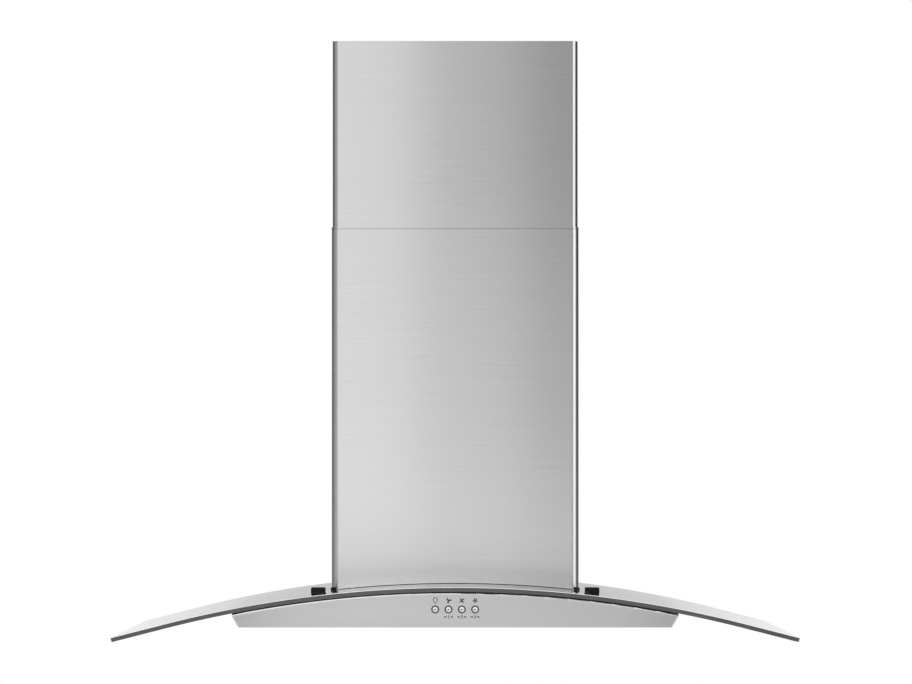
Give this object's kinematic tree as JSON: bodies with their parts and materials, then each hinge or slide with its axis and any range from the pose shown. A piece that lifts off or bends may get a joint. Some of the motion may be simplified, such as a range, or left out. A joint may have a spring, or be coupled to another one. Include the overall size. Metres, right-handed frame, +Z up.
{
  "type": "range hood",
  "caption": "Wall-mounted chimney range hood: arched glass canopy over a slim brushed-steel body with push buttons, and a telescoping rectangular chimney over the blower.",
  "frame": {"origin": "centre of the four wall screw holes, on the wall face of the blower box", "axes": "+X to the right as the cook sees it, +Y into the wall, +Z up"},
  "size_m": [0.8998, 0.5, 0.8036],
  "materials": {
    "canopy_glass": "clear float glass, ground edges with an arris",
    "brushed_steel": "brushed stainless steel, grain across",
    "panel_steel": "brushed stainless steel",
    "black_rubber": "matt black rubber",
    "black_plastic": "satin black moulding",
    "screw_steel": "zinc-plated steel",
    "galvanised_steel": "galvanised sheet, faint spangle",
    "motor_paint": "dark grey stoved paint",
    "capacitor_shell": "off-white plastic can",
    "damper_metal": "thin mill-finish sheet",
    "white_plastic": "cream moulding",
    "button_ring": "dark glossy ring",
    "button_cap": "satin bright cap",
    "board_green": "lacquered circuit board",
    "filter_aluminium": "anodised aluminium",
    "latch_plastic": "dark grey moulding",
    "lamp_metal": "spun aluminium",
    "lamp_ring": "satin chrome ring",
    "lamp_glass": "frosted lens"
  },
  "bodies": {
    "root": {"glass_panel": "canopy_glass", "hood_body": "brushed_steel", "chimney_lower": "brushed_steel", "bottom_panel": "panel_steel", "glass_gasket": "black_rubber", "glass_bushes": "black_rubber", "chimney_pads": "black_rubber", "glass_clamp_left": "black_plastic", "glass_clamp_right": "black_plastic", "switch_block": "black_plastic", "terminal_box": "black_plastic", "terminal_cover": "black_plastic", "cable_gland": "black_plastic", "clamp_screws": "screw_steel", "cover_screws": "screw_steel", "box_screws": "screw_steel", "collar_screws": "screw_steel", "panel_screws": "screw_steel", "damper_pin": "screw_steel", "blower_box": "galvanised_steel", "blower_cover": "galvanised_steel", "blower_scroll": "galvanised_steel", "inlet_ring_left": "galvanised_steel", "inlet_ring_right": "galvanised_steel", "motor_bracket": "galvanised_steel", "capacitor_clip": "galvanised_steel", "outlet_collar": "galvanised_steel", "motor_housing": "motor_paint", "capacitor": "capacitor_shell", "terminal_block": "white_plastic", "button_bezels": "button_ring", "control_board": "board_green", "lamp_can_left": "lamp_metal", "lamp_can_right": "lamp_metal", "lamp_bezel_left": "lamp_ring", "lamp_bezel_right": "lamp_ring", "lamp_lens_left": "lamp_glass", "lamp_lens_right": "lamp_glass"},
    "upper_cover": {"chimney_upper": "brushed_steel", "wall_bracket": "galvanised_steel", "bracket_screws": "screw_steel"},
    "fan_rotor": {"impeller": "galvanised_steel", "motor_shaft": "screw_steel"},
    "front_flap": {"damper_front": "damper_metal"},
    "rear_flap": {"damper_rear": "damper_metal"},
    "light_button": {"button_light": "button_cap"},
    "low_button": {"button_low": "button_cap"},
    "medium_button": {"button_medium": "button_cap"},
    "high_button": {"button_high": "button_cap"},
    "left_filter": {"filter_frame_left": "filter_aluminium", "filter_mesh_left": "filter_aluminium"},
    "right_filter": {"filter_frame_right": "filter_aluminium", "filter_mesh_right": "filter_aluminium"},
    "left_latch": {"filter_latch_left": "latch_plastic"},
    "right_latch": {"filter_latch_right": "latch_plastic"}
  },
  "joints": [
    {"name": "upper_cover_slide", "type": "slide", "parent": "root", "child": "upper_cover", "axis": [0, 0, 1], "range_m": [-0.205, 0.15]},
    {"name": "fan_spin", "type": "hinge", "parent": "root", "child": "fan_rotor", "pos_m": [0, -0.118, 0.012], "axis": [-1, 0, 0], "continuous": true},
    {"name": "front_flap_hinge", "type": "hinge", "parent": "root", "child": "front_flap", "pos_m": [0, -0.18, 0.17], "axis": [-1, 0, 0], "range_deg": [0, 75]},
    {"name": "rear_flap_hinge", "type": "hinge", "parent": "root", "child": "rear_flap", "pos_m": [0, -0.18, 0.17], "axis": [1, 0, 0], "range_deg": [0, 75]},
    {"name": "light_button_press", "type": "slide", "parent": "root", "child": "light_button", "axis": [0, 1, 0], "range_m": [0, 0.0025], "stiffness_N_per_m": 400, "springref_m": -0.0025},
    {"name": "low_button_press", "type": "slide", "parent": "root", "child": "low_button", "axis": [0, 1, 0], "range_m": [0, 0.0025], "stiffness_N_per_m": 400, "springref_m": -0.0025},
    {"name": "medium_button_press", "type": "slide", "parent": "root", "child": "medium_button", "axis": [0, 1, 0], "range_m": [0, 0.0025], "stiffness_N_per_m": 400, "springref_m": -0.0025},
    {"name": "high_button_press", "type": "slide", "parent": "root", "child": "high_button", "axis": [0, 1, 0], "range_m": [0, 0.0025], "stiffness_N_per_m": 400, "springref_m": -0.0025},
    {"name": "left_filter_swing", "type": "hinge", "parent": "root", "child": "left_filter", "pos_m": [-0.132, -0.0625, -0.1694], "axis": [1, 0, 0], "range_deg": [0, 75]},
    {"name": "right_filter_swing", "type": "hinge", "parent": "root", "child": "right_filter", "pos_m": [0.132, -0.0625, -0.1694], "axis": [1, 0, 0], "range_deg": [0, 75]},
    {"name": "left_latch_slide", "type": "slide", "parent": "left_filter", "child": "left_latch", "axis": [0, 1, 0], "range_m": [0, 0.005], "stiffness_N_per_m": 500, "springref_m": -0.003},
    {"name": "right_latch_slide", "type": "slide", "parent": "right_filter", "child": "right_latch", "axis": [0, 1, 0], "range_m": [0, 0.005], "stiffness_N_per_m": 500, "springref_m": -0.003}
  ]
}
